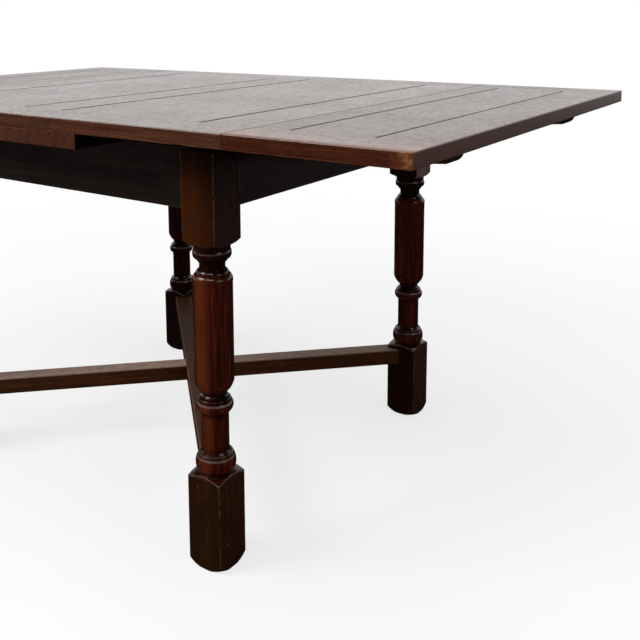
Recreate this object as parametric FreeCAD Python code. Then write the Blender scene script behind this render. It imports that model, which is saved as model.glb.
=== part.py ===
import FreeCAD, Part
import math
import os

os.makedirs("parts", exist_ok=True)

Vec = FreeCAD.Vector
up = Vec(0, 0, 1)
down = Vec(0, 0, -1)

# Millimetres. Origin on the floor under the middle of the table, +Z up.
# The leaves draw out along X, and the front edge is on the -Y side.
# Both leaves are drawn out and the loose main top lies level between them.

# Tops
table_height = 740.0
top_length = 919.0
top_width = 919.0
top_thickness = 22.5
leaf_length = 289.5
seam_gap = 0.8
edge_round = 1.8
stile_width = 79.0
end_rail_width = 102.7
centre_rail_width = 93.0
leaf_inner_rail_width = 57.3
leaf_outer_rail_width = 93.1
main_panel_gap = 5.0
leaf_panel_gap = 3.4
groove_round = 1.4

# Tongues and grooves that hold the boards of the tops together
tongue_thickness = 7.5
groove_depth = 11.5
tongue_end_gap = 0.6

# Fixed centre board between the two stowed leaves
centre_board_length = 334.6
stow_clearance = 1.0

# Square-and-turned legs
leg_setback = 87.0
leg_square = 65.5
foot_height = 151.5
foot_edge_height = 20.0
foot_edge_radius = 34.0
foot_bow = 0.08
shoulder_rise = 10.5
shoulder_radius = 29.8
shoulder_bow = 0.08
slack_bow = 0.05
block_bottom = 553.2
quirk_height = 1.4
base_ring_bottom = 168.0
base_ring_low_radius = 31.6
base_ring_radius = 33.4
base_ring_height = 22.0
base_ring_top_radius = 30.6
base_quirk_radius = 28.3
base_bead_radius = 29.0
base_bead_height = 3.6
base_bead_top_radius = 26.8
base_flare_radius = 25.4
base_flare_height = 5.5
shaft_radius = 22.6
mid_ring_bottom = 264.5
mid_ring_low_radius = 23.8
mid_ring_radius = 30.3
mid_ring_height = 18.0
mid_ring_top_radius = 28.2
mid_quirk_radius = 25.8
mid_bead_radius = 26.8
mid_bead_height = 3.8
mid_bead_top_radius = 24.8
mid_fillet_radius = 22.8
mid_fillet_height = 2.6
mid_cove_height = 2.6
low_neck_radius = 19.8
drum_bottom = 297.2
drum_radius = 32.5
drum_foot_rise = 20.0
drum_foot_bow = 0.08
drum_top = 493.5
drum_head_rise = 13.0
drum_head_radius = 29.3
drum_head_bow = 0.13
collar_quirk_radius = 26.9
collar_height = 7.2
collar_top_radius = 22.6
collar_bow = 0.12
neck_radius = 20.9
cap_cone_bottom = 511.8
cap_cone_height = 9.8
cap_cone_radius = 28.8
cap_bead_low_radius = 30.0
cap_bead_radius = 31.5
cap_bead_height = 12.4
cap_bead_top_radius = 30.2
cap_quirk_radius = 28.3

# Aprons with stub tenons
apron_depth = 98.5
apron_thickness = 22.0
tenon_thickness = 10.0
tenon_length = 26.0
tenon_shoulder = 12.0

# Cross rails that carry the inner ends of the bearers
slide_rail_position = 100.0
slide_rail_thickness = 22.0
slide_rail_housing = 8.0

# Tapered bearers under the leaves
bearer_width = 30.0
bearer_depth = 39.0
bearer_leg_gap = 6.0
bearer_pass_gap = 56.0
bearer_inner_end = 58.0
bearer_top_step = 1.2
bearer_end_setback = 18.0
bearer_nose_length = 13.5
slide_clearance = 0.5

# Stop pegs under the bearers and guide pegs under the main top
stop_radius = 6.0
stop_drop = 8.0
stop_depth = 18.0
stop_travel = 6.0
stop_margin = 0.3
guide_radius = 10.0
guide_clearance = 0.6
guide_offset = 60.0
guide_drop = 52.0
guide_depth = 14.0
guide_tip_length = 9.0
guide_tip_share = 0.6

# Crossed floor stretchers
stretcher_bottom = 117.0
stretcher_height = 32.4
stretcher_width = 40.0
stretcher_arris = 1.5
stretcher_tenon_height = 20.0
stretcher_tenon_width = 16.0
stretcher_tenon_stop = 9.0

# Corner braces inside the frame
brace_height = 55.0
brace_thickness = 22.0
brace_lift = 9.0

# Countersunk wood screws
screw_radius = 2.3
screw_head_radius = 4.8
screw_head_height = 3.0
screw_tip_length = 5.0
screw_slot_width = 1.2
screw_slot_depth = 1.1
screw_recess = 0.8
counterbore_radius = 5.6
board_screw_length = 50.0
board_screw_x = 130.0
board_screw_y = 150.0
leaf_screw_length = 24.0
leaf_screw_grip = 10.0
brace_screw_length = 42.0
stretcher_screw_length = 26.0

overrun = 5.0

# Derived positions
top_z = table_height
under_z = table_height - top_thickness
half_top = top_length / 2
half_width = top_width / 2
leaf_inner = half_top + seam_gap
leaf_outer = half_top + leaf_length
stow_travel = leaf_length
stow_drop = top_thickness + stow_clearance
incline = stow_drop / stow_travel
board_thickness = top_thickness + 2 * stow_clearance
frame_z = under_z - board_thickness
apron_bottom = frame_z - apron_depth
leg_x = half_top - leg_setback
leg_y = half_width - leg_setback
axis_x = leg_x - leg_square / 2
axis_y = leg_y - leg_square / 2
apron_setback = (leg_square - apron_thickness) / 2
tongue_low = top_z - (top_thickness + tongue_thickness) / 2
tongue_high = tongue_low + tongue_thickness


def box(x0, x1, y0, y1, z0, z1):
    corner = Vec(min(x0, x1), min(y0, y1), min(z0, z1))
    return Part.makeBox(abs(x1 - x0), abs(y1 - y0), abs(z1 - z0), corner)


def prism_xz(points, y0, y1):
    wire = Part.makePolygon([Vec(x, y0, z) for x, z in points + points[:1]])
    return Part.Face(wire).extrude(Vec(0, y1 - y0, 0))


def prism_xy(points, z0, z1):
    wire = Part.makePolygon([Vec(x, y, z0) for x, y in points + points[:1]])
    return Part.Face(wire).extrude(Vec(0, 0, z1 - z0))


def turn(shape, angle):
    copy = shape.copy()
    copy.rotate(Vec(0, 0, 0), up, angle)
    return copy


def save(name, shape):
    shape.exportStep("parts/" + name + ".step")


def save_group(name, shapes):
    save(name, Part.makeCompound(shapes))


# A screw stands with its head at the origin and its point along the given direction.
def screw(head, direction, length):
    points = [Vec(0, 0, 0), Vec(screw_head_radius, 0, 0), Vec(screw_radius, 0, screw_head_height)]
    points += [Vec(screw_radius, 0, length - screw_tip_length), Vec(0, 0, length), Vec(0, 0, 0)]
    body = Part.Face(Part.makePolygon(points)).revolve(Vec(0, 0, 0), up, 360)
    body.Placement = FreeCAD.Placement(head, FreeCAD.Rotation(up, direction))
    return body


def slotted(body, head, direction):
    reach = screw_head_radius + overrun
    slot = box(-reach, reach, -screw_slot_width / 2, screw_slot_width / 2, -overrun, screw_slot_depth)
    slot.Placement = FreeCAD.Placement(head, FreeCAD.Rotation(up, direction))
    return body.cut(slot)


def counterbore(head, direction, length):
    back = direction * -length
    return Part.makeCylinder(counterbore_radius, length, head + back, direction)


# Boards of the tops. A slab with its worn outer edges rounded is cut into stiles,
# rails and panels, so the rounding runs on from piece to piece.
def slab(x0, x1, outer_end):
    solid = box(x0, x1, -half_width, half_width, under_z, top_z)
    chosen = []
    for edge in solid.Edges:
        middle = edge.valueAt((edge.FirstParameter + edge.LastParameter) / 2)
        on_side = abs(abs(middle.y) - half_width) < seam_gap
        on_end = outer_end is not None and abs(middle.x - outer_end) < seam_gap
        level = abs(edge.Vertexes[0].Z - edge.Vertexes[1].Z) < seam_gap
        if level and (on_side or on_end):
            chosen.append(edge)
        if not level and on_side and on_end:
            chosen.append(edge)
    return solid.makeFillet(edge_round, chosen)


inner_y = half_width - stile_width


def stile(whole, x0, x1, side):
    piece = whole.common(box(x0, x1, side * inner_y, side * (half_width + overrun), under_z, top_z))
    groove_y = side * (inner_y + groove_depth)
    return piece.cut(box(x0, x1, side * (inner_y - overrun), groove_y, tongue_low, tongue_high))


# Rounds the upper edges that border the open gaps beside a panel.
def worn(piece, lines):
    chosen = []
    for edge in piece.Edges:
        middle = edge.CenterOfMass
        level = abs(middle.z - top_z) < tongue_end_gap
        near = min(abs(middle.x - x) for x in lines) < tongue_end_gap
        if level and near and edge.Length > inner_y:
            chosen.append(edge)
    return piece.makeFillet(groove_round, chosen)


def rail(whole, x0, x1, grooved):
    piece = whole.common(box(x0, x1, -inner_y, inner_y, under_z, top_z))
    reach = inner_y + groove_depth - tongue_end_gap
    left = x0
    right = x1
    lines = []
    if min(grooved) < 0:
        lines.append(x0)
        left = x0 + groove_depth
        piece = piece.cut(box(x0 - overrun, left, -inner_y, inner_y, tongue_low, tongue_high))
    if max(grooved) > 0:
        lines.append(x1)
        right = x1 - groove_depth
        piece = piece.cut(box(right, x1 + overrun, -inner_y, inner_y, tongue_low, tongue_high))
    whole_rail = piece.fuse(box(left, right, -reach, reach, tongue_low, tongue_high)).removeSplitter()
    return worn(whole_rail, lines)


# The dark line at each end of a panel is the gap left for the wood to move in.
def panel(whole, x0, x1, gap):
    left = x0 + gap
    right = x1 - gap
    piece = whole.common(box(left, right, -inner_y, inner_y, under_z, top_z))
    side = groove_depth - tongue_end_gap
    tongue_x = box(x0 - side, x1 + side, -inner_y, inner_y, tongue_low, tongue_high)
    reach = inner_y + groove_depth - tongue_end_gap
    tongue_y = box(left, right, -reach, reach, tongue_low, tongue_high)
    return worn(piece.fuse([tongue_x, tongue_y]).removeSplitter(), (left, right))


# Height of the sloping line that a bearer's top edge follows, on the right side.
def slope_z(x, drop):
    return under_z - drop - (half_top - x) * incline


def bearer(y):
    nose = leaf_outer - bearer_end_setback
    start = nose - bearer_nose_length
    low = slope_z(start, bearer_depth)
    rise = under_z - low
    lean = math.sqrt(0.5)
    bend = Vec(start + bearer_nose_length * lean, 0, low + rise * (1 - lean))
    corners = [
        Vec(nose, 0, under_z),
        Vec(leaf_inner, 0, under_z),
        Vec(leaf_inner, 0, slope_z(leaf_inner, bearer_top_step)),
        Vec(bearer_inner_end, 0, slope_z(bearer_inner_end, bearer_top_step)),
        Vec(bearer_inner_end, 0, slope_z(bearer_inner_end, bearer_depth)),
        Vec(start, 0, low),
    ]
    edges = [Part.LineSegment(a, b).toShape() for a, b in zip(corners[:-1], corners[1:])]
    edges.append(Part.Arc(corners[-1], bend, corners[0]).toShape())
    face = Part.Face(Part.Wire(edges))
    solid = face.extrude(Vec(0, bearer_width, 0))
    solid.translate(Vec(0, y - bearer_width / 2, 0))
    return solid


# The space a right-hand bearer needs in a rail or apron, open at the top.
def bearer_way(y, x0, x1, extra):
    drop = bearer_depth + slide_clearance + extra
    half = bearer_width / 2 + slide_clearance
    points = [(x0, slope_z(x0, drop)), (x1, slope_z(x1, drop)), (x1, top_z), (x0, top_z)]
    return prism_xz(points, y - half, y + half)


# The turned outline is drawn upward from the floor, then trimmed by the square blank.
class Outline:
    def __init__(self):
        self.here = Vec(0, 0, 0)
        self.edges = []

    def to(self, radius, z):
        there = Vec(radius, 0, z)
        self.edges.append(Part.LineSegment(self.here, there).toShape())
        self.here = there

    def curve(self, radius, z, bow):
        there = Vec(radius, 0, z)
        chord = there - self.here
        middle = (self.here + there) / 2 + Vec(chord.z, 0, -chord.x) * bow
        self.edges.append(Part.Arc(self.here, middle, there).toShape())
        self.here = there

    def bead(self, crown, radius, height):
        there = Vec(radius, 0, self.here.z + height)
        middle = Vec(crown, 0, self.here.z + height / 2)
        self.edges.append(Part.Arc(self.here, middle, there).toShape())
        self.here = there

    def step(self, radius):
        self.to(radius, self.here.z)

    def rise(self, height):
        self.to(self.here.x, self.here.z + height)


def leg():
    corner = leg_square / math.sqrt(2) + overrun
    path = Outline()
    path.to(foot_edge_radius, 0)
    path.curve(corner, foot_edge_height, foot_bow)
    path.to(corner, foot_height)
    path.curve(shoulder_radius, foot_height + shoulder_rise, shoulder_bow)
    path.to(shoulder_radius, base_ring_bottom)
    path.step(base_ring_low_radius)
    path.bead(base_ring_radius, base_ring_top_radius, base_ring_height)
    path.step(base_quirk_radius)
    path.rise(quirk_height)
    path.bead(base_bead_radius, base_bead_top_radius, base_bead_height)
    path.step(base_flare_radius)
    path.curve(shaft_radius, path.here.z + base_flare_height, -slack_bow)
    path.to(shaft_radius, mid_ring_bottom)
    path.step(mid_ring_low_radius)
    path.bead(mid_ring_radius, mid_ring_top_radius, mid_ring_height)
    path.step(mid_quirk_radius)
    path.rise(quirk_height)
    path.bead(mid_bead_radius, mid_bead_top_radius, mid_bead_height)
    path.step(mid_fillet_radius)
    path.rise(mid_fillet_height)
    path.curve(low_neck_radius, path.here.z + mid_cove_height, -slack_bow)
    path.to(low_neck_radius, drum_bottom)
    path.curve(drum_radius, drum_bottom + drum_foot_rise, drum_foot_bow)
    path.to(drum_radius, drum_top - drum_head_rise)
    path.curve(drum_head_radius, drum_top, drum_head_bow)
    path.step(collar_quirk_radius)
    path.rise(quirk_height)
    path.curve(collar_top_radius, path.here.z + collar_height, collar_bow)
    path.step(neck_radius)
    path.to(neck_radius, cap_cone_bottom)
    path.to(cap_cone_radius, cap_cone_bottom + cap_cone_height)
    path.step(cap_bead_low_radius)
    path.bead(cap_bead_radius, cap_bead_top_radius, cap_bead_height)
    path.step(cap_quirk_radius)
    path.rise(quirk_height)
    path.step(shoulder_radius)
    path.to(shoulder_radius, block_bottom - shoulder_rise)
    path.curve(corner, block_bottom, shoulder_bow)
    path.to(corner, frame_z)
    path.to(0, frame_z)
    path.to(0, 0)
    turned = Part.Face(Part.Wire(path.edges)).revolve(Vec(0, 0, 0), up, 360)
    half = leg_square / 2
    return turned.common(box(-half, half, -half, half, 0, frame_z))


# Stretcher bars lie along the diagonals, each lapped over or under the other.
diagonal = math.hypot(axis_x, axis_y)
diagonal_angle = math.degrees(math.atan2(axis_y, axis_x))
stretcher_top = stretcher_bottom + stretcher_height


def bar(angle):
    half = stretcher_width / 2
    solid = box(-diagonal, diagonal, -half, half, stretcher_bottom, stretcher_top)
    chosen = []
    for edge in solid.Edges:
        if edge.Length > diagonal:
            chosen.append(edge)
    return turn(solid.makeChamfer(stretcher_arris, chosen), angle)


def bar_tenons(angle):
    middle = (stretcher_bottom + stretcher_top) / 2
    low = middle - stretcher_tenon_height / 2
    reach = diagonal - stretcher_tenon_stop
    half = stretcher_tenon_width / 2
    return turn(box(-reach, reach, -half, half, low, low + stretcher_tenon_height), angle)


def leg_blocks():
    half = leg_square / 2
    blocks = []
    for sx in (-1, 1):
        for sy in (-1, 1):
            x = sx * axis_x
            y = sy * axis_y
            blocks.append(box(x - half, x + half, y - half, y + half, 0, frame_z))
    return blocks


def stretcher(angle, lap_low, lap_high):
    whole = bar(angle).cut(leg_blocks()).fuse(bar_tenons(angle)).removeSplitter()
    half = stretcher_width / 2
    other = box(-diagonal, diagonal, -half, half, lap_low, lap_high)
    return whole.cut(turn(other, -angle))


lap_z = (stretcher_bottom + stretcher_top) / 2
bars = {
    "stretcher_front_left_to_back_right": stretcher(diagonal_angle, lap_z, stretcher_top + overrun),
    "stretcher_front_right_to_back_left": stretcher(-diagonal_angle, stretcher_bottom - overrun, lap_z),
}
tenons = [bar_tenons(diagonal_angle), bar_tenons(-diagonal_angle)]

# One screw from below holds the two bars together at the crossing.
cross_head = Vec(0, 0, stretcher_bottom + screw_recess)
cross_screw = screw(cross_head, up, stretcher_screw_length)
cross_hole = [cross_screw, counterbore(cross_head, up, screw_recess + overrun)]
for name in bars:
    save(name, bars[name].cut(cross_hole))
save("stretcher_screw", slotted(cross_screw, cross_head, up))


# Aprons. Each has a stub tenon at both ends, and the end aprons are notched for the bearers.
apron_out_x = leg_x - apron_setback
apron_in_x = apron_out_x - apron_thickness
apron_out_y = leg_y - apron_setback
apron_in_y = apron_out_y - apron_thickness
tenon_skin = (apron_thickness - tenon_thickness) / 2
inner_leg_x = leg_x - leg_square
inner_leg_y = leg_y - leg_square
tenon_z0 = apron_bottom + tenon_shoulder
tenon_z1 = frame_z - tenon_shoulder


def long_apron(side):
    board = box(-inner_leg_x, inner_leg_x, side * apron_in_y, side * apron_out_y, apron_bottom, frame_z)
    reach = inner_leg_x + tenon_length
    y0 = side * (apron_in_y + tenon_skin)
    y1 = side * (apron_out_y - tenon_skin)
    return board.fuse(box(-reach, reach, y0, y1, tenon_z0, tenon_z1)).removeSplitter()


def end_apron():
    board = box(apron_in_x, apron_out_x, -inner_leg_y, inner_leg_y, apron_bottom, frame_z)
    reach = inner_leg_y + tenon_length
    x0 = apron_in_x + tenon_skin
    x1 = apron_out_x - tenon_skin
    return board.fuse(box(x0, x1, -reach, reach, tenon_z0, tenon_z1)).removeSplitter()


def mirrored(shape):
    return turn(shape, 180)


# The right leaf's bearers stand beside a leg at the front and inside the left leaf's at the back.
bearer_outer_offset = inner_leg_y - bearer_leg_gap - bearer_width / 2
bearer_inner_offset = bearer_outer_offset - bearer_width - bearer_pass_gap


def right_bearer_offsets():
    return (-bearer_outer_offset, bearer_inner_offset)


right_apron = end_apron()
for y in right_bearer_offsets():
    right_apron = right_apron.cut(bearer_way(y, apron_in_x - overrun, apron_out_x + overrun, 0))
aprons = {
    "apron_front": long_apron(-1),
    "apron_back": long_apron(1),
    "apron_right": right_apron,
    "apron_left": mirrored(right_apron),
}

# Cross rails, notched closely for the near leaf's bearers and deeper for the far leaf's,
# whose stop pegs pass through.
rail_x0 = slide_rail_position - slide_rail_thickness / 2
rail_x1 = slide_rail_position + slide_rail_thickness / 2
rail_reach = apron_in_y + slide_rail_housing
cross_rail = box(rail_x0, rail_x1, -rail_reach, rail_reach, apron_bottom, frame_z)
for y in right_bearer_offsets():
    cross_rail = cross_rail.cut(bearer_way(y, rail_x0 - overrun, rail_x1 + overrun, 0))
    far_way = bearer_way(y, -rail_x1 - overrun, -rail_x0 + overrun, stop_drop + slide_clearance)
    cross_rail = cross_rail.cut(mirrored(far_way))
housings = [
    box(rail_x0, rail_x1, -rail_reach, rail_reach, apron_bottom, frame_z),
    box(-rail_x1, -rail_x0, -rail_reach, rail_reach, apron_bottom, frame_z),
]

# Corner braces, cut to fit between the aprons behind each leg
brace_low = apron_bottom + brace_lift
brace_line = inner_leg_x + inner_leg_y
brace_width = brace_thickness * math.sqrt(2)


def brace():
    near = [(apron_in_x, brace_line - apron_in_x), (brace_line - apron_in_y, apron_in_y)]
    back = brace_line - brace_width
    far = [(back - apron_in_y, apron_in_y), (apron_in_x, back - apron_in_x)]
    return prism_xy(near + far, brace_low, brace_low + brace_height)


def flipped(shape, sx, sy):
    copy = shape
    if sx < 0:
        copy = copy.mirror(Vec(0, 0, 0), Vec(1, 0, 0))
    if sy < 0:
        copy = copy.mirror(Vec(0, 0, 0), Vec(0, 1, 0))
    return copy


brace_screws = []
brace_holes = []
braces = {}
corners = (("front_left", -1, -1), ("front_right", 1, -1), ("back_left", -1, 1), ("back_right", 1, 1))
for name, sx, sy in corners:
    outward = Vec(sx, sy, 0).normalize()
    face_x = sx * (inner_leg_x - brace_width / 2)
    face_y = sy * (inner_leg_y - brace_width / 2)
    face = Vec(face_x, face_y, brace_low + brace_height / 2)
    head = face + outward * screw_recess
    body = screw(head, outward, brace_screw_length)
    brace_screws.append(slotted(body, head, outward))
    brace_holes += [body, counterbore(head, outward, screw_recess + overrun)]
    braces["corner_brace_" + name] = flipped(brace(), sx, sy)
for name in braces:
    save(name, braces[name].cut(brace_holes))
save_group("corner_brace_screws", brace_screws)

# Centre board with its two guide holes, screwed down to the frame
half_board = centre_board_length / 2
board = box(-half_board, half_board, -half_width, half_width, frame_z, under_z)
board_screws = []
board_holes = []
for sx in (-1, 1):
    apron_mid_y = apron_in_y + apron_thickness / 2
    for y in (-apron_mid_y, -board_screw_y, board_screw_y, apron_mid_y):
        on_rail = abs(y) < apron_in_y
        x = sx * (slide_rail_position if on_rail else board_screw_x)
        head = Vec(x, y, under_z - screw_recess)
        body = screw(head, down, board_screw_length)
        board_screws.append(slotted(body, head, down))
        board_holes += [body, counterbore(head, down, screw_recess + overrun)]
guide_holes = []
for side in (-1, 1):
    base = Vec(0, side * guide_offset, frame_z - overrun)
    guide_holes.append(Part.makeCylinder(guide_radius + guide_clearance, board_thickness + 2 * overrun, base))
save("centre_board", board.cut(board_holes + guide_holes))
save_group("centre_board_screws", board_screws)

for name in aprons:
    save(name, aprons[name].cut(housings + board_holes))
save("cross_rail_right", cross_rail.cut(board_holes))
save("cross_rail_left", mirrored(cross_rail).cut(board_holes))

# Legs, mortised for the aprons and the stretcher
pattern = leg()
for name, sx, sy in corners:
    body = pattern.copy()
    body.translate(Vec(sx * axis_x, sy * axis_y, 0))
    mortises = [
        box(-inner_leg_x - tenon_length, inner_leg_x + tenon_length,
            sy * (apron_in_y + tenon_skin), sy * (apron_out_y - tenon_skin), tenon_z0, tenon_z1),
        box(sx * (apron_in_x + tenon_skin), sx * (apron_out_x - tenon_skin),
            -inner_leg_y - tenon_length, inner_leg_y + tenon_length, tenon_z0, tenon_z1),
    ]
    save("leg_" + name, body.cut(mortises + tenons + brace_holes))

# Main top
end_inner = half_top - end_rail_width
mid = centre_rail_width / 2
whole = slab(-half_top, half_top, None)
save("top_stile_front", stile(whole, -half_top, half_top, -1))
save("top_stile_back", stile(whole, -half_top, half_top, 1))
save("top_end_rail_right", rail(whole, end_inner, half_top, (-1,)))
save("top_end_rail_left", rail(whole, -half_top, -end_inner, (1,)))
save("top_panel_right", panel(whole, mid, end_inner, main_panel_gap))
save("top_panel_left", panel(whole, -end_inner, -mid, main_panel_gap))

guides = []
for side in (-1, 1):
    y = side * guide_offset
    foot = under_z - guide_drop
    shank = Part.makeCylinder(guide_radius, guide_drop - guide_tip_length + guide_depth,
                              Vec(0, y, foot + guide_tip_length))
    tip = Part.makeCone(guide_radius * guide_tip_share, guide_radius, guide_tip_length, Vec(0, y, foot))
    guides.append(shank.fuse(tip).removeSplitter())
save("top_centre_rail", rail(whole, -mid, mid, (-1, 1)).cut(guides))
save("guide_peg_front", guides[0])
save("guide_peg_back", guides[1])

# Right leaf, and the left leaf as the same leaf turned half round
whole = slab(leaf_inner, leaf_outer, leaf_outer)
inner_line = leaf_inner + leaf_inner_rail_width
outer_line = leaf_outer - leaf_outer_rail_width
leaf = {
    "stile_near": stile(whole, leaf_inner, leaf_outer, -1),
    "stile_far": stile(whole, leaf_inner, leaf_outer, 1),
    "inner_rail": rail(whole, leaf_inner, inner_line, (1,)),
    "outer_rail": rail(whole, outer_line, leaf_outer, (-1,)),
    "panel": panel(whole, inner_line, outer_line, leaf_panel_gap),
}
stop_x = rail_x0 - stop_travel - stop_margin - stop_radius
nose_start = leaf_outer - bearer_end_setback - bearer_nose_length
# One screw in the inner rail, one in the panel and one in the outer rail, clear of the grooves.
leaf_screw_places = (
    (leaf_inner + inner_line - groove_depth) / 2,
    (inner_line + outer_line) / 2,
    (outer_line + groove_depth + nose_start) / 2,
)
bearers = []
stops = []
screws = []
screw_holes = []
for y in right_bearer_offsets():
    low = slope_z(stop_x, bearer_depth)
    stop = Part.makeCylinder(stop_radius, stop_drop + stop_depth, Vec(stop_x, y, low - stop_drop))
    stops.append(stop)
    bearers.append(bearer(y).cut(stop))
    for x in leaf_screw_places:
        reach = min(leaf_screw_length, under_z + leaf_screw_grip - slope_z(x, bearer_depth) - screw_recess)
        head = Vec(x, y, under_z + leaf_screw_grip - reach)
        body = screw(head, up, reach)
        screws.append(slotted(body, head, up))
        screw_holes += [body, counterbore(head, up, bearer_depth)]
leaf = {name: leaf[name].cut(screw_holes) for name in leaf}
bearers = [piece.cut(screw_holes) for piece in bearers]

for name in ("inner_rail", "outer_rail", "panel"):
    save("right_leaf_" + name, leaf[name])
    save("left_leaf_" + name, mirrored(leaf[name]))
save("right_leaf_stile_front", leaf["stile_near"])
save("right_leaf_stile_back", leaf["stile_far"])
save("left_leaf_stile_back", mirrored(leaf["stile_near"]))
save("left_leaf_stile_front", mirrored(leaf["stile_far"]))
save("right_bearer_front", bearers[0])
save("right_bearer_back", bearers[1])
save("left_bearer_back", mirrored(bearers[0]))
save("left_bearer_front", mirrored(bearers[1]))
save_group("right_bearer_stops", stops)
save_group("left_bearer_stops", [mirrored(piece) for piece in stops])
save_group("right_leaf_screws", screws)
save_group("left_leaf_screws", [mirrored(piece) for piece in screws])
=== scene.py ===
import math
import bpy
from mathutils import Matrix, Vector

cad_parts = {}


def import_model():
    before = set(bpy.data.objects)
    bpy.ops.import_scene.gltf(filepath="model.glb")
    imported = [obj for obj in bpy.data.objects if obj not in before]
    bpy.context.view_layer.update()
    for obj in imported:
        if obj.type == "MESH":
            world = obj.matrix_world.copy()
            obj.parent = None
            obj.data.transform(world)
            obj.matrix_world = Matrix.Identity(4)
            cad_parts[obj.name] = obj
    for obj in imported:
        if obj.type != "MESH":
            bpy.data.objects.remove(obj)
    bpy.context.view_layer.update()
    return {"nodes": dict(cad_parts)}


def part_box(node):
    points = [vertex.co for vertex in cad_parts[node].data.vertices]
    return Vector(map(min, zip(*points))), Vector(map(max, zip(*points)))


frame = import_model()

# Wood colours, linear: dark, middle and light wood, then worn arrises
top_tone = ((0.022, 0.0064, 0.003), (0.052, 0.0155, 0.0062), (0.10, 0.033, 0.013), (0.16, 0.064, 0.026))
leaf_tone = ((0.018, 0.0032, 0.001), (0.045, 0.0078, 0.0018), (0.095, 0.021, 0.0045), (0.20, 0.075, 0.024))
board_tone = ((0.018, 0.004, 0.0014), (0.045, 0.0106, 0.0032), (0.09, 0.025, 0.0076), (0.14, 0.052, 0.018))
leg_tone = ((0.008, 0.0012, 0.0005), (0.026, 0.0028, 0.0008), (0.085, 0.012, 0.0018), (0.12, 0.05, 0.026))
bar_tone = ((0.014, 0.0036, 0.001), (0.034, 0.009, 0.0022), (0.07, 0.022, 0.006), (0.11, 0.055, 0.032))
frame_tone = ((0.007, 0.0038, 0.0034), (0.015, 0.0076, 0.0066), (0.027, 0.013, 0.0105), (0.05, 0.022, 0.012))
under_tone = ((0.025, 0.01, 0.006), (0.05, 0.022, 0.013), (0.085, 0.04, 0.024), (0.12, 0.06, 0.034))
pore_shade = (0.35, 0.33, 0.30)

# Colours of rubbed wood, a lighter stripe, wax, dust with painted highlight and painted sheen, and steel,
# linear
# a lighter orange stripe on the outward face of the turned legs
orange_stripe = (0.080, 0.0155, 0.0022)
rubbed_tan = (0.20, 0.080, 0.042)
rubbed_rim = (0.095, 0.038, 0.020)
rubbed_orange = (0.13, 0.036, 0.008)
rubbed_light = (0.30, 0.120, 0.040)
# pale wear and painted highlight on the arrises of legs and stretchers
pale_wear_and_highlight = (0.16, 0.095, 0.055)
end_grey = (0.054, 0.028, 0.023)
dark_wax = (0.0035, 0.0024, 0.0020)
# dust and painted highlight on the rings of the legs
ring_dust_and_highlight = (0.13, 0.088, 0.076)
# dust and painted sheen on the upper faces of the stretchers
steep_dust_and_sheen = (0.15, 0.060, 0.020)
level_dust_and_sheen = (0.43, 0.300, 0.240)
screw_metal = (0.30, 0.28, 0.25)
screw_grime = (0.09, 0.05, 0.03)

# Faces of each leg, coloured as painted light and shade for how each face is lit: block towards the long
# side and the end of the table, then the foot likewise
leg_faces_painted_light = {
    "leg_front_right": (
        (0.0380, 0.0092, 0.0005), (0.0155, 0.0080, 0.0074),
        (0.0112, 0.0046, 0.0009), (0.0170, 0.0060, 0.0012)),
    "leg_back_right": (
        (0.0030, 0.0008, 0.0006), (0.1050, 0.0660, 0.0650),
        (0.0070, 0.0014, 0.0010), (0.0300, 0.0105, 0.0030)),
    "leg_front_left": (
        (0.0200, 0.0050, 0.0010), (0.0122, 0.0062, 0.0056),
        (0.0100, 0.0040, 0.0012), (0.0100, 0.0040, 0.0012)),
    "leg_back_left": (
        (0.0040, 0.0008, 0.0006), (0.0060, 0.0020, 0.0016),
        (0.0060, 0.0024, 0.0012), (0.0060, 0.0020, 0.0010)),
}
# Painted shade: these legs get a darker copy of the leg tones
painted_shade_legs = ("leg_back_left",)
painted_shade_share = 0.45

# How fully a finish covers the wood, from 0 to 1
stripe_share = 0.7
foot_share = 0.8
tan_share = 0.75
steep_share = 0.25

# Figure of the oak in steps per metre, twice across the grain and once along it
sway_figure = (6.0, 6.0, 1.7)
wander_figure = (160.0, 160.0, 6.0)
fibre_figure = (620.0, 620.0, 14.0)
streak_figure = (75.0, 75.0, 2.4)
pore_figure = (1500.0, 1500.0, 70.0)
thread_figure = (380.0, 380.0, 7.0)
scratch_figure = (420.0, 420.0, 90.0)
rings_per_metre = 310.0
sway_reach = 0.045
ray_turn = 75.0
ray_depth = 42.0
ray_length = 34.0

# Each piece is cut from its own place in the log
first_seed = 1.0
seed_step = 0.731
log_step = (0.37, 0.23, 1.7)
pith_swing = 0.11
pith_drop = 0.14

# Boards glued up side by side, in metres, and how they differ
panel_board = 0.156
fixed_board = 0.17
board_shift = (0.8, 0.0, 3.0)
board_dull = 0.82
board_bright = 1.16

# Patches, scuffs and relief of every surface
cloud_scale = 5.5
scuff_scale = 90.0
wear_scale = 34.0
relief_depth = 0.0004
scuff_relief = 0.3
coat_rough = 0.16
coat_ior = 1.5
roughest = 0.95

# Wax and rubbing on the tops, in metres from the groove's floor, an edge or a seam
groove_floor = 0.0012
groove_lip = 0.0004
groove_soft = 0.0004
groove_inset = (0.003, 0.006)
lip_inset = (0.0018, 0.0010)
tan_reach = (0.100, 0.030)
tan_stray = 0.03
tan_skin = (0.0006, 0.0001)
rim_reach = (0.014, 0.004)
corner_inset = (0.035, 0.006)
corner_depth = (0.004, 0.001)
seam_reach = (0.0014, 0.0005)
seam_extra = 0.02

# Heights and radii of the legs in metres
foot_height = 0.1515
foot_fade = (0.168, 0.160)
foot_stray = 0.012
block_bottom = 0.5532
block_fade = (0.014, 0.007)
block_shadow = (0.625, 0.695)
shaft_low = 0.204
shaft_high = 0.258
shoulder_rise = 0.0105
shoulder_inner = 0.0298
shoulder_outer = 0.0513
shoulder_line = (0.0014, 0.0003)
square_line = (0.0014, 0.0004)
square_corner = (0.0016, 0.0005)
hollow_radii = (0.0290, 0.0245)
ring_radii = (0.0262, 0.0280)
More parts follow.
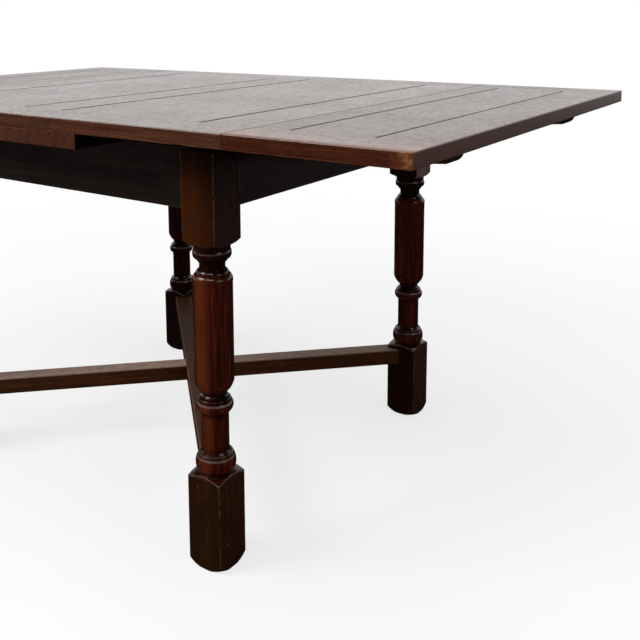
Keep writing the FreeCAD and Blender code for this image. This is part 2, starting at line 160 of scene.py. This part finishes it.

# Stretches of a leg that hold dark stain with painted shade, then pale bands of dust with painted highlight:
# from, to, share
stain_and_shade = ((0.4965, 0.545, 0.90), (0.282, 0.298, 0.75), (0.189, 0.198, 0.6), (0.159, 0.168, 0.6))
dust_and_highlight_bands = ((0.2792, 0.2822, 0.7), (0.1872, 0.1902, 0.65), (0.5298, 0.5320, 0.4), (0.1940, 0.1955, 0.35))

# Arrises of the stretchers and ends of the fixed board, in metres
bar_half = 0.020
bar_arris = (0.0026, 0.0012)
# Depth of the painted shade on the ends of the fixed board
board_end_shade = (0.002, 0.0005)

# Floor and backdrop
floor_half = 9.0
floor_dull = (0.86, 0.86, 0.86)
floor_bright = (0.90, 0.90, 0.90)
floor_in_gloss = (0.02, 0.02, 0.02)
floor_near = 0.8
floor_far = 2.6
floor_glow = 0.72
window_way = (-0.55, 0.83, 0.0)
window_strength = 0.96
dark_strength = 0.02
room_strength = 0.4

# Camera: place in metres, angles in degrees
camera_place = (1.20915, -1.37131, 0.90592)
camera_yaw = 35.539
camera_pitch = -8.455
camera_roll = -0.464
camera_lens = 49.33
camera_shift = (0.0636, -0.28125)


# Boxes in metres, as centre and half size, worked out from the pieces of the CAD model
def box_round(*starts):
    boxes = [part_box(name) for name in frame["nodes"] if name.startswith(starts)]
    low = [min(box[0][axis] for box in boxes) for axis in range(3)]
    high = [max(box[1][axis] for box in boxes) for axis in range(3)]
    centre = tuple((a + b) / 2 for a, b in zip(low, high))
    half = tuple((b - a) / 2 for a, b in zip(low, high))
    return centre, half


boxes = {
    "main": box_round("top_stile", "top_end_rail"),
    "right": box_round("right_leaf_stile"),
    "left": box_round("left_leaf_stile"),
}


def widened(side):
    # The box of a top without its seam faces, which aren't rubbed like the outer edges.
    (x, y, z), (a, b, c) = boxes[side]
    if side == "main":
        return (x, y, z), (a + seam_extra, b, c)
    shift = -seam_extra / 2 if side == "right" else seam_extra / 2
    return (x + shift, y, z), (a + seam_extra / 2, b, c)


def inset(edge, depths):
    # Two places at the given depths inside an edge.
    return [edge - depth for depth in depths]


class Nodes:
    # Short forms for building a shader's nodes.
    def __init__(self, tree):
        self.tree = tree

    def add(self, kind, **values):
        node = self.tree.nodes.new(kind)
        for key, value in values.items():
            setattr(node, key, value)
        return node

    def put(self, socket, value):
        if isinstance(value, bpy.types.NodeSocket):
            self.tree.links.new(value, socket)
        elif isinstance(value, (tuple, list)) and len(value) == 3 and socket.type == "RGBA":
            socket.default_value = (*value, 1.0)
        else:
            socket.default_value = value

    def math(self, operation, a, b=0.0, clamp=False):
        node = self.add("ShaderNodeMath", operation=operation, use_clamp=clamp)
        self.put(node.inputs[0], a)
        self.put(node.inputs[1], b)
        return node.outputs[0]

    def plus(self, a, b):
        return self.math("ADD", a, b)

    def minus(self, a, b):
        return self.math("SUBTRACT", a, b)

    def times(self, *values):
        result = values[0]
        for value in values[1:]:
            result = self.math("MULTIPLY", result, value)
        return result

    def size(self, a):
        return self.math("ABSOLUTE", a)

    def vector(self, operation, a, b=(0.0, 0.0, 0.0), output=0):
        node = self.add("ShaderNodeVectorMath", operation=operation)
        self.put(node.inputs[0], a)
        self.put(node.inputs[1], b)
        return node.outputs[output]

    def length(self, a):
        return self.vector("LENGTH", a, output=1)

    def split(self, a):
        node = self.add("ShaderNodeSeparateXYZ")
        self.put(node.inputs[0], a)
        return node.outputs

    def join(self, x, y, z):
        node = self.add("ShaderNodeCombineXYZ")
        for socket, value in zip(node.inputs, (x, y, z)):
            self.put(socket, value)
        return node.outputs[0]

    def noise(self, vector, scale, detail=2.0, rough=0.5, distortion=0.0, colour=False):
        node = self.add("ShaderNodeTexNoise")
        self.put(node.inputs["Vector"], vector)
        self.put(node.inputs["Scale"], scale)
        self.put(node.inputs["Detail"], detail)
        self.put(node.inputs["Roughness"], rough)
        self.put(node.inputs["Distortion"], distortion)
        return node.outputs[1 if colour else 0]

    def figure(self, point, scales, detail=2.0, rough=0.5, colour=False):
        return self.noise(self.vector("MULTIPLY", point, scales), 1.0, detail, rough, colour=colour)

    def span(self, value, low, high, to_low=0.0, to_high=1.0, smooth=True):
        node = self.add("ShaderNodeMapRange", interpolation_type="SMOOTHSTEP" if smooth else "LINEAR")
        for socket, number in zip(node.inputs, (value, low, high, to_low, to_high)):
            self.put(socket, number)
        return node.outputs[0]

    def between(self, value, low, high, soft):
        above = self.span(value, low - soft, low + soft)
        below = self.span(value, high + soft, high - soft)
        return self.times(above, below)

    def mix(self, factor, a, b, blend="MIX"):
        node = self.add("ShaderNodeMix", data_type="RGBA", blend_type=blend)
        self.put(node.inputs[0], factor)
        self.put(node.inputs[6], a)
        self.put(node.inputs[7], b)
        return node.outputs[2]

    def group(self, tree, **values):
        node = self.add("ShaderNodeGroup", node_tree=tree)
        for key, value in values.items():
            self.put(node.inputs[key], value)
        return node.outputs

    def place(self):
        return self.add("ShaderNodeTexCoord").outputs["Object"]

    def normal(self):
        return self.split(self.add("ShaderNodeNewGeometry").outputs["Normal"])


def new_group(name, inputs, outputs):
    tree = bpy.data.node_groups.new(name, "ShaderNodeTree")
    for label, kind in inputs:
        tree.interface.new_socket(label, in_out="INPUT", socket_type="NodeSocket" + kind)
    for label, kind in outputs:
        tree.interface.new_socket(label, in_out="OUTPUT", socket_type="NodeSocket" + kind)
    n = Nodes(tree)
    return tree, n, n.add("NodeGroupInput").outputs, n.add("NodeGroupOutput").inputs


def new_material(name):
    material = bpy.data.materials.new(name)
    material.use_nodes = True
    n = Nodes(material.node_tree)
    return material, n, material.node_tree.nodes["Principled BSDF"].inputs


def raise_surface(n, shader, strength, depth, height):
    raised = n.add("ShaderNodeBump")
    raised.inputs["Strength"].default_value = strength
    raised.inputs["Distance"].default_value = depth
    n.put(raised.inputs["Height"], height)
    n.put(shader["Normal"], raised.outputs[0])


def oak_group():
    # Oak as a solid: rings round a pith line that runs along the local Z, pores, fibres and rays.
    tree, n, given, out = new_group(
        "oak_solid",
        [("Point", "Vector"), ("Pith", "Vector"), ("Dark", "Color"), ("Mid", "Color"), ("Light", "Color"),
         ("Fine", "Float")],
        [("Color", "Color"), ("Height", "Float"), ("Streak", "Float"), ("Pore", "Float")])
    point = given["Point"]

    # Distance from the pith, which sways slowly along the log
    slow = n.figure(point, sway_figure, colour=True)
    sway = n.vector("SUBTRACT", slow, (0.5, 0.5, 0.5))
    sway = n.vector("MULTIPLY", sway, (sway_reach, sway_reach, 0.0))
    across = n.vector("SUBTRACT", n.vector("ADD", point, sway), given["Pith"])
    across = n.vector("MULTIPLY", across, (1.0, 1.0, 0.0))
    radius = n.length(across)

    # Year rings, with the open early wood at the start of each
    wander = n.figure(point, wander_figure)
    part = n.math("FRACT", n.plus(n.times(radius, rings_per_metre), n.times(wander, 1.1)))
    early = n.math("MAXIMUM", n.span(part, 0.42, 0.02), n.span(part, 0.93, 1.0))

    # Fibres, streaks, pores and threads along the grain
    fibre = n.figure(point, fibre_figure, 3.0, 0.6)
    streak = n.figure(point, streak_figure, 3.0, 0.55)
    pore = n.span(n.figure(point, pore_figure, 1.0), 0.53, 0.66)
    pore = n.times(pore, n.plus(n.times(early, 0.8), 0.2))
    thread = n.times(n.span(n.figure(point, thread_figure), 0.3, 0.7), given["Fine"])

    # Rays outwards from the pith
    x, y = n.split(across)[:2]
    angle = n.math("ARCTAN2", y, x)
    height = n.split(point)[2]
    ray_at = n.join(n.times(angle, ray_turn), n.times(radius, ray_depth), n.times(height, ray_length))
    ray = n.span(n.noise(ray_at, 1.0, 2.0, 0.5, 0.6), 0.60, 0.72)

    # Colour
    broad = n.times(streak, n.minus(0.9, n.times(given["Fine"], 0.7)))
    shade = n.plus(n.plus(broad, n.times(thread, 0.7)), n.times(fibre, 0.55))
    shade = n.minus(shade, n.times(early, 0.16))
    colour = n.mix(n.span(shade, 0.30, 0.66), given["Dark"], given["Mid"])
    colour = n.mix(n.times(n.span(shade, 0.66, 1.0), 0.9), colour, given["Light"])
    colour = n.mix(n.times(ray, 0.22), colour, given["Light"])
    deep = n.mix(1.0, given["Dark"], pore_shade, "MULTIPLY")
    n.put(out["Color"], n.mix(n.times(pore, 0.75), colour, deep))

    # Relief
    raised = n.plus(n.times(fibre, 0.35), n.times(ray, 0.15))
    sunk = n.plus(pore, n.times(early, 0.3))
    n.put(out["Height"], n.minus(raised, sunk))
    n.put(out["Streak"], streak)
    n.put(out["Pore"], pore)
    return tree


def edge_group():
    # How near a point on a box is to the box's edges, 1 on an edge and 0 from Reach inwards.
    tree, n, given, out = new_group(
        "edge_near",
        [("Point", "Vector"), ("Centre", "Vector"), ("Half", "Vector"), ("Reach", "Float")],
        [("Near", "Float")])
    off = n.vector("ABSOLUTE", n.vector("SUBTRACT", given["Point"], given["Centre"]))
    a, b, c = n.split(n.vector("SUBTRACT", given["Half"], off))
    second = n.math("MAXIMUM", n.math("MINIMUM", a, b), n.math("MINIMUM", n.math("MAXIMUM", a, b), c))
    n.put(out["Near"], n.span(second, given["Reach"], 0.0))
    return tree


oak_solid = oak_group()
edge_near = edge_group()


class Look:
    # What a piece's finish is worked out from: nodes, place, wood and the noises.
    def __init__(self, n, point, wood, cloud, scuff, rough):
        self.n = n
        self.point = point
        self.wood = wood
        self.cloud = cloud
        self.scuff = scuff
        self.colour = wood["Color"]
        self.rough = rough
        self.relief = 1.0

    def tint(self, amount, colour, rougher=0.0):
        n = self.n
        self.colour = n.mix(amount, self.colour, colour)
        if rougher:
            self.rough = n.plus(self.rough, n.times(amount, rougher))

    def shade(self, amount, share):
        darker = self.n.mix(1.0, self.colour, (share, share, share * 1.1), "MULTIPLY")
        self.colour = self.n.mix(amount, self.colour, darker)


def along(n, point, grain):
    # The point turned so that the grain runs along the local Z.
    x, y, z = n.split(point)
    if grain == "x":
        return n.join(y, z, x)
    if grain == "y":
        return n.join(x, z, y)
    return point


def worn_edges(look, box, seed, worn, wear, reach):
    # Arrises of a box rubbed down to lighter wood, in patches.
    n = look.n
    near = n.group(edge_near, Point=look.point, Centre=box[0], Half=box[1], Reach=reach)["Near"]
    patch = n.noise(n.vector("ADD", look.point, (0.0, 7.0, seed)), wear_scale, 5.0, 0.65)
    rub = n.math("MULTIPLY", n.times(near, n.span(patch, 0.36, 0.60)), wear, clamp=True)
    look.tint(rub, worn, 0.12)


def oak(name, grain, seed, dark, mid, light, worn, wear=0.5, rough=0.4, gloss=0.5, coat=0.0,
        box=None, boards=0.0, blotch=0.5, turn=0.0, bump=0.35, reach=0.0028, fine=0.0, finish=None):
    material, n, shader = new_material(name)
    point = n.place()

    # Place in the log
    place = point
    if turn:
        spin = n.add("ShaderNodeVectorRotate", rotation_type="Z_AXIS")
        n.put(spin.inputs["Vector"], point)
        n.put(spin.inputs["Angle"], -turn)
        place = spin.outputs[0]
    shift = [step * seed for step in log_step]
    local = n.vector("ADD", along(n, place, grain), shift)
    tone = None
    if boards:
        count = n.math("FLOOR", n.math("DIVIDE", n.split(local)[0], boards))
        pick = n.add("ShaderNodeTexWhiteNoise", noise_dimensions="1D")
        n.put(pick.inputs["W"], n.plus(count, seed * 3.1))
        local = n.vector("ADD", local, n.vector("MULTIPLY", pick.outputs["Color"], board_shift))
        tone = pick.outputs["Value"]
    pith_x = shift[0] + pith_swing * math.cos(seed * 2.4)
    pith_y = shift[1] + pith_swing * math.sin(seed * 1.7) - pith_drop
    pith = (pith_x, pith_y, 0.0)
    wood = n.group(oak_solid, Point=local, Pith=pith, Dark=dark, Mid=mid, Light=light, Fine=fine)

    # Patches and scuffs
    cloud = n.noise(n.vector("ADD", point, (seed, 2.0 * seed, 0.0)), cloud_scale, 4.0, 0.6)
    scuff = n.noise(n.vector("ADD", point, (3.0, seed, 0.0)), scuff_scale, 5.0, 0.65)
    rough_now = n.plus(n.span(cloud, 0.3, 0.7, -0.02, 0.03), rough)
    rough_now = n.plus(rough_now, n.span(scuff, 0.35, 0.75, -0.03, 0.08))
    rough_now = n.plus(rough_now, n.times(wood["Pore"], 0.2))
    look = Look(n, point, wood, cloud, scuff, rough_now)
    if tone is not None:
        lift = n.span(tone, 0.0, 1.0, board_dull, board_bright, smooth=False)
        look.colour = n.mix(1.0, look.colour, n.join(lift, lift, lift), "MULTIPLY")
    look.shade(n.times(n.span(cloud, 0.46, 0.70), blotch), 0.5)
    if box is not None:
        worn_edges(look, box, seed, worn, wear, reach)
    if finish is not None:
        finish(look)

    # Shader
    n.put(shader["Base Color"], look.colour)
    n.put(shader["Roughness"], n.math("MINIMUM", look.rough, roughest))
    shader["Specular IOR Level"].default_value = gloss
    if coat:
        shader["Coat Weight"].default_value = coat
        shader["Coat Roughness"].default_value = coat_rough
        shader["Coat IOR"].default_value = coat_ior
    height = n.plus(wood["Height"], n.times(scuff, scuff_relief))
    raise_surface(n, shader, bump, relief_depth, n.times(look.relief, height))
    return material


def top_finish(side, own, tan=0.0):
    # Grooves and seams hold dark wax. The near stile may be rubbed to a warmer brown.
    centre, half = boxes[side]
    low = centre[2] - half[2]
    high = centre[2] + half[2]

    def finish(look):
        n = look.n
        off = n.vector("SUBTRACT", look.point, centre)
        x, y = n.split(n.vector("SUBTRACT", half, n.vector("ABSOLUTE", off)))[:2]
        height = n.split(look.point)[2]

        # Wax in the grooves, and on the lips of this piece beside them
        deep = n.between(height, low + groove_floor, high - groove_lip, groove_soft)
        deep = n.times(deep, n.span(y, *groove_inset), n.span(x, *groove_inset))
        look.tint(n.times(deep, 0.95), dark_wax, 0.4)
        if own:
            across = n.size(n.minus(n.split(look.point)[0], own[0][0]))
            lip = n.times(n.span(across, *inset(own[1][0], lip_inset)), n.span(x, *groove_inset))
            look.tint(n.times(lip, 0.9), dark_wax, 0.4)

        # Rubbed band along the near edge of the upper face
        if tan:
            front = n.plus(n.split(off)[1], half[1])
            patch = n.span(n.plus(look.cloud, look.wood["Streak"]), 0.72, 1.16, 0.25, 1.0)
            upper = n.span(height, *inset(high, tan_skin))
            reach = n.plus(front, n.times(look.scuff, tan_stray))
            band = n.times(n.span(reach, *tan_reach), upper, patch, tan)
            look.tint(band, rubbed_tan)
            rim = n.times(n.span(front, *rim_reach), upper, 0.7)
            look.tint(rim, rubbed_rim, 0.35)

        # Outer corner and end edge of a leaf
        seam = x
        if side != "main":
            outwards = n.times(n.split(off)[0], 1.0 if side == "right" else -1.0)
            seam = n.plus(half[0], outwards)
            corner = n.times(n.span(outwards, *inset(half[0], corner_inset)), n.span(y, *corner_depth))
            look.tint(n.times(corner, 0.5), rubbed_orange)
            look.tint(n.times(corner, n.span(look.scuff, 0.46, 0.60, 0.0, 0.4)), rubbed_light)
            end_face = n.span(n.size(n.normal()[0]), 0.5, 0.9)
            look.tint(n.times(end_face, 0.6), end_grey)
            kept = n.times(look.rough, n.minus(1.0, end_face))
            look.rough = n.plus(kept, n.times(end_face, 0.32))
            look.relief = n.minus(1.0, n.times(end_face, 0.92))
        look.tint(n.times(n.span(seam, *seam_reach), 0.8), dark_wax, 0.6)
    return finish


def leg_finish(box, forward, front, side, foot_front_painted_light, foot_side_painted_light):
    # Dark stain and painted shade in the turned hollows, pale lines of wear and painted highlight on the
    # rings and shoulders, painted light and shade on the faces of the block and foot, grime on the foot.
    centre, half = box
    square = half[0]

    def finish(look):
        n = look.n
        flat = n.vector("MULTIPLY", n.vector("SUBTRACT", look.point, centre), (1.0, 1.0, 0.0))
        away = n.length(flat)
        x, y = n.split(flat)[:2]
        z = n.split(look.point)[2]
        wide = n.size(x)
        deep = n.size(y)
        block = n.span(z, *inset(block_bottom, block_fade))
        foot = n.span(n.plus(z, n.times(look.cloud, foot_stray)), *foot_fade)

        # Lighter orange stripe on the outward face of the turned part
        ahead = n.math("DIVIDE", n.times(y, forward), away)
        band = n.times(n.span(ahead, 0.86, 0.99), n.span(look.cloud, 0.36, 0.56, 0.25, 1.0))
        band = n.times(band, n.span(look.wood["Streak"], 0.34, 0.58, 0.35, 1.0))
        band = n.times(band, n.minus(1.0, block))
        look.tint(n.times(band, stripe_share), orange_stripe)

        # Dark stain and painted shade in the hollows and under the block
        shaft = n.between(z, shaft_low, shaft_high, 0.004)
        hollow_stain_and_shade = n.times(n.span(away, *hollow_radii), n.minus(0.6, n.times(shaft, 0.5)))
        for low, high, share in stain_and_shade:
            hollow_stain_and_shade = n.math("MAXIMUM", hollow_stain_and_shade, n.times(n.between(z, low, high, 0.003), share))
        look.shade(hollow_stain_and_shade, 0.12)

        # Pale bands on the rings: painted highlight where they catch light, with dust dulling them
        for low, high, share in dust_and_highlight_bands:
            ring = n.times(n.between(z, low, high, 0.0008), n.span(away, *ring_radii))
            ring = n.times(ring, n.span(look.scuff, 0.36, 0.56, 0.45, 1.0))
            look.tint(n.times(ring, share), ring_dust_and_highlight, 0.05)

        # Faces of the block: painted light and shade per face, darker towards +X on the faces towards the
        # long side, and painted shadow of the top on the upper block
        facing = n.span(n.minus(wide, deep), -0.001, 0.001)
        look.tint(n.times(block, n.times(facing, 0.92)), side)
        mottle = n.span(look.cloud, 0.35, 0.62, 0.95, 0.75)
        face = n.times(block, n.minus(1.0, facing))
        look.tint(n.times(face, mottle), front)
        look.shade(n.times(face, n.span(x, -0.018, 0.030)), 0.5)
        look.shade(n.times(n.span(z, *block_shadow), 0.9), 0.22)

        # Foot: painted light and shade per face over grime, with pale lines of worn wood and painted
        # highlight where its faces meet the shoulders and each other
        look.tint(n.times(foot, foot_share), n.mix(facing, foot_front_painted_light, foot_side_painted_light), 0.12)
        slope = n.span(away, shoulder_inner, shoulder_outer, shoulder_rise, 0.0, smooth=False)
        gap = n.size(n.minus(z, n.plus(slope, foot_height)))
        line = n.span(n.math("MAXIMUM", wide, deep), *inset(square, square_line))
        line = n.times(line, n.span(gap, *shoulder_line))
        line = n.times(line, n.span(look.scuff, 0.35, 0.6, 0.35, 0.9))
        corner = n.span(n.math("MINIMUM", wide, deep), *inset(square, square_corner))
        corner = n.times(corner, n.span(look.scuff, 0.42, 0.56, 0.0, 0.3))
        look.tint(n.math("MAXIMUM", line, corner), pale_wear_and_highlight, 0.1)
        scratch = n.span(n.figure(look.point, scratch_figure), 0.70, 0.76)
        scratch = n.times(scratch, n.span(look.cloud, 0.48, 0.56))
        look.tint(n.times(scratch, foot), pale_wear_and_highlight, 0.1)
    return finish


def bar_finish(turn, upper_dust_and_sheen, share):
    # Shoes have rubbed and dusted the upper face of a stretcher, which is also painted paler as painted
    # sheen. Its upper arrises get pale lines of wear and painted highlight.
    def finish(look):
        n = look.n
        up = n.normal()[2]
        worn = n.times(n.span(up, 0.55, 0.98), n.span(look.scuff, 0.25, 0.75, 0.55, 0.95))
        look.tint(n.times(worn, share), upper_dust_and_sheen, 0.15)
        across = n.vector("DOT_PRODUCT", look.point, (-math.sin(turn), math.cos(turn), 0.0), output=1)
        arris = n.times(n.span(n.size(across), *inset(bar_half, bar_arris)), n.span(up, 0.2, 0.5))
        look.tint(n.times(arris, n.span(look.scuff, 0.3, 0.6, 0.4, 0.8)), pale_wear_and_highlight, 0.1)
    return finish


def board_finish(box):
    # The ends of the fixed board are painted nearly black: painted shade, over end grain that has taken up
    # more stain.
    def finish(look):
        n = look.n
        x = n.size(n.split(look.point)[0])
        look.shade(n.span(x, *inset(box[1][0], board_end_shade)), 0.08)
    return finish


def steel():
    material, n, shader = new_material("steel_screws")
    point = n.place()
    grime = n.noise(point, 320.0, 4.0, 0.6)
    scratch = n.figure(point, (900.0, 3000.0, 900.0))
    n.put(shader["Base Color"], n.mix(n.span(grime, 0.45, 0.62), screw_metal, screw_grime))
    n.put(shader["Roughness"], n.span(scratch, 0.3, 0.7, 0.35, 0.6))
    n.put(shader["Metallic"], n.span(grime, 0.66, 0.52, 0.3, 0.9))
    raise_surface(n, shader, 0.2, 0.0002, scratch)
    return material


def dress_top(name, seed):
    stile = "stile" in name
    own = None if stile else box_round(name)
    grain = "x" if stile else "y"
    shared = {"rough": 0.22, "blotch": 0.25, "bump": 0.25, "fine": 0.35}
    if name.startswith("top_"):
        boards = panel_board if "panel" in name else 0.0
        return oak(name, grain, seed, *top_tone, wear=0.6, coat=0.13, boards=boards,
                   box=widened("main"), finish=top_finish("main", own), **shared)
    side = name.split("_")[0]
    return oak(name, grain, seed, *leaf_tone, wear=0.4, coat=0.04, reach=0.0022,
               box=widened(side), finish=top_finish(side, own, tan_share), **shared)


def dress_leg(name, seed):
    box = box_round(name)
    forward = math.copysign(1.0, box[0][1])
    tones = leg_tone
    # Painted shade: a darker copy of the leg tones
    if name in painted_shade_legs:
        tones = [tuple(painted_shade_share * part for part in tone) for tone in leg_tone]
    return oak(name, "z", seed, *tones, rough=0.12, gloss=0.35, box=box, reach=0.0022, bump=0.14,
               fine=0.35, finish=leg_finish(box, forward, *leg_faces_painted_light[name]))


def dress_bar(name, seed):
    # The bar from the front left leg has the paler upper face of the two: more dust and painted sheen.
    level = "front_left" in name
    turn = math.radians(45 if level else -45)
    finish = bar_finish(turn, level_dust_and_sheen, 1.0) if level else bar_finish(turn, steep_dust_and_sheen, steep_share)
    return oak(name, "x", seed, *bar_tone, rough=0.45, gloss=0.06, turn=turn, fine=0.3, finish=finish)


def dress(name, index):
    seed = first_seed + seed_step * index
    if "screw" in name:
        return screws
    if name.startswith("top_") or "_leaf_" in name:
        return dress_top(name, seed)
    if name.startswith("leg_"):
        return dress_leg(name, seed)
    if name.startswith("stretcher"):
        return dress_bar(name, seed)
    if name.startswith("guide_peg"):
        return oak(name, "z", seed, *under_tone, rough=0.5, gloss=0.2)
    if "bearer" in name:
        return oak(name, "x", seed, *frame_tone, rough=0.55, gloss=0.12)
    box = box_round(name)
    if name == "centre_board":
        return oak(name, "y", seed, *board_tone, gloss=0.2, boards=fixed_board, box=box, fine=0.35,
                   finish=board_finish(box))
    grain = "y" if name in ("apron_left", "apron_right", "cross_rail_left", "cross_rail_right") else "x"
    return oak(name, grain, seed, *frame_tone, wear=0.4, rough=0.5, gloss=0.10, box=box)


screws = steel()
for index, (name, piece) in enumerate(sorted(frame["nodes"].items())):
    piece.data.materials.clear()
    piece.data.materials.append(dress(name, index))
    for face in piece.data.polygons:
        face.material_index = 0


# Floor, backdrop light and lamps
def floor():
    mesh = bpy.data.meshes.new("floor")
    size = floor_half
    corners = [(-size, -size, 0), (size, -size, 0), (size, size, 0), (-size, size, 0)]
    mesh.from_pydata(corners, [], [(0, 1, 2, 3)])
    plane = bpy.data.objects.new("floor", mesh)
    bpy.context.scene.collection.objects.link(plane)
    material = bpy.data.materials.new("floor_paint")
    material.use_nodes = True
    material.node_tree.nodes.clear()
    n = Nodes(material.node_tree)
    path = n.add("ShaderNodeLightPath").outputs
    point = n.place()
    pale = n.mix(n.noise(point, 40.0, 3.0, 0.5), floor_dull, floor_bright)
    paint = n.add("ShaderNodeBsdfDiffuse")
    n.put(paint.inputs["Color"], n.mix(path["Is Glossy Ray"], pale, floor_in_gloss))
    glow = n.add("ShaderNodeEmission")
    both = n.add("ShaderNodeMixShader")
    fade = n.span(n.length(point), floor_near, floor_far, floor_glow, 1.0)
    n.put(both.inputs[0], n.times(path["Is Camera Ray"], fade))
    n.put(both.inputs[1], paint.outputs[0])
    n.put(both.inputs[2], glow.outputs[0])
    out = n.add("ShaderNodeOutputMaterial")
    n.put(out.inputs["Surface"], both.outputs[0])
    mesh.materials.append(material)


def world():
    sky = bpy.data.worlds.new("studio")
    bpy.context.scene.world = sky
    sky.use_nodes = True
    sky.node_tree.nodes.clear()
    n = Nodes(sky.node_tree)
    path = n.add("ShaderNodeLightPath").outputs
    way = n.add("ShaderNodeTexCoord").outputs["Generated"]
    toward = n.vector("DOT_PRODUCT", way, window_way, output=1)
    seen = n.span(toward, -0.1, 0.5, dark_strength, window_strength)
    light = n.plus(n.times(path["Is Glossy Ray"], n.minus(seen, room_strength)), room_strength)
    back = n.add("ShaderNodeBackground")
    back.inputs["Color"].default_value = (1.0, 1.0, 1.0, 1.0)
    n.put(back.inputs["Strength"], n.math("MAXIMUM", path["Is Camera Ray"], light))
    out = n.add("ShaderNodeOutputWorld")
    n.put(out.inputs["Surface"], back.outputs[0])


def lamp(name, place, aim, width, height, watts):
    data = bpy.data.lights.new(name, "AREA")
    data.shape = "RECTANGLE"
    data.size = width
    data.size_y = height
    data.energy = watts
    thing = bpy.data.objects.new(name, data)
    thing.location = place
    thing.rotation_euler = (Vector(aim) - Vector(place)).to_track_quat("-Z", "Y").to_euler()
    bpy.context.scene.collection.objects.link(thing)


def camera():
    data = bpy.data.cameras.new("camera")
    data.sensor_width = 36.0
    data.lens = camera_lens
    data.shift_x, data.shift_y = camera_shift
    data.clip_start = 0.05
    data.clip_end = 60.0
    data.dof.use_dof = False
    yaw = math.radians(camera_yaw)
    pitch = math.radians(camera_pitch)
    roll = math.radians(camera_roll)
    ahead = Vector((-math.sin(yaw) * math.cos(pitch), math.cos(yaw) * math.cos(pitch), math.sin(pitch)))
    side = Vector((math.cos(yaw), math.sin(yaw), 0.0))
    up = side.cross(ahead)
    right = side * math.cos(roll) + up * math.sin(roll)
    top = -side * math.sin(roll) + up * math.cos(roll)
    thing = bpy.data.objects.new("camera", data)
    matrix = thing.matrix_world.copy()
    for row in range(3):
        matrix[row] = (right[row], top[row], -ahead[row], camera_place[row])
    thing.matrix_world = matrix
    bpy.context.scene.collection.objects.link(thing)
    bpy.context.scene.camera = thing


floor()
world()
lamp("key", (-1.9, -2.8, 3.1), (0.0, 0.0, 0.5), 2.0, 1.6, 110.0)
lamp("overhead", (0.3, 0.2, 3.2), (0.0, 0.0, 0.5), 2.6, 2.6, 45.0)
lamp("window", (0.9, -1.9, 2.2), (0.3, -0.3, 0.4), 1.5, 0.25, 14.0)
lamp("side", (3.4, -0.6, 1.8), (0.2, 0.0, 0.5), 1.6, 1.2, 13.0)
camera()
bpy.context.scene.view_settings.view_transform = "Standard"

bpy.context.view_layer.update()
